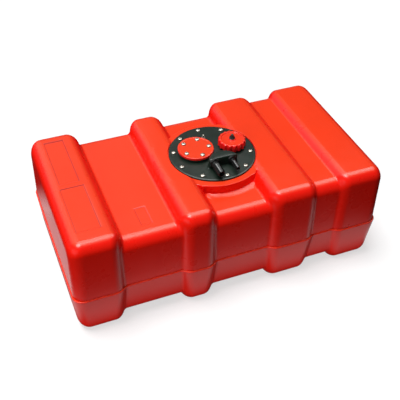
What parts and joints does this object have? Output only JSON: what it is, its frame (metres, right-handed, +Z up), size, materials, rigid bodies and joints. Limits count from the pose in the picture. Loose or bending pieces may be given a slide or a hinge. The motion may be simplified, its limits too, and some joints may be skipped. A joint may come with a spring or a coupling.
{
  "type": "inboard fuel tank",
  "caption": "Ribbed two-half plastic fuel tank with a round fitting plate on top: blanked gauge opening, vented screw cap, and barbed vent and feed hose tails.",
  "frame": {"origin": "on the floor under the middle of the tank", "axes": "+Z up, +X along the tank to its right end, the hose tails point to -Y, the front"},
  "size_m": [0.65, 0.358, 0.255],
  "materials": {
    "red_upper": "satin moulded polyethylene",
    "red_lower": "satin moulded polyethylene",
    "red_cover": "smooth moulded plastic",
    "red_cap": "smooth moulded plastic",
    "black_plate": "fine matt moulding",
    "black_tail": "smooth black moulding",
    "black_knob": "smooth black moulding",
    "stainless": "bright stainless steel",
    "brass": "turned",
    "gasket": "fuel-proof rubber",
    "aluminium_tube": "drawn tube"
  },
  "bodies": {
    "tank": {"upper_shell": "red_upper", "lower_shell": "red_lower", "plate_inserts": "brass", "plate_gasket": "gasket", "fitting_plate": "black_plate", "plate_screws": "stainless", "cover_inserts": "brass", "cover_gasket": "gasket", "gauge_cover": "red_cover", "cover_screws": "stainless", "vent_tail": "black_tail", "vent_tail_seal": "gasket", "feed_tail": "black_tail", "feed_tail_seal": "gasket", "pickup_tube": "aluminium_tube", "strainer": "brass", "earth_stud": "stainless", "earth_washer": "stainless", "earth_nut": "stainless"},
    "cap_seal": {"cap_gasket": "gasket"},
    "cap": {"screw_cap": "red_cap"},
    "vent_washer": {"vent_seal": "gasket"},
    "vent": {"vent_screw": "black_knob"}
  },
  "joints": [
    {"name": "cap_lift", "type": "slide", "parent": "tank", "child": "cap_seal", "axis": [0, 0, 1], "range_m": [0, 0.01]},
    {"name": "cap_turn", "type": "hinge", "parent": "cap_seal", "child": "cap", "pos_m": [0.06425, 0.007, 0.231], "axis": [0, 0, 1], "range_deg": [0, 900]},
    {"name": "vent_lift", "type": "slide", "parent": "cap", "child": "vent_washer", "axis": [0, 0, 1], "range_m": [0, 0.002]},
    {"name": "vent_turn", "type": "hinge", "parent": "vent_washer", "child": "vent", "pos_m": [0.06425, 0.007, 0.245], "axis": [0, 0, 1], "range_deg": [0, 540]}
  ],
  "couplings": [
    {"joint": "cap_lift", "follows": "cap_turn", "m_per_rad": 0.000636},
    {"joint": "vent_turn", "follows": "vent_lift", "rad_per_m": 4712.4}
  ]
}
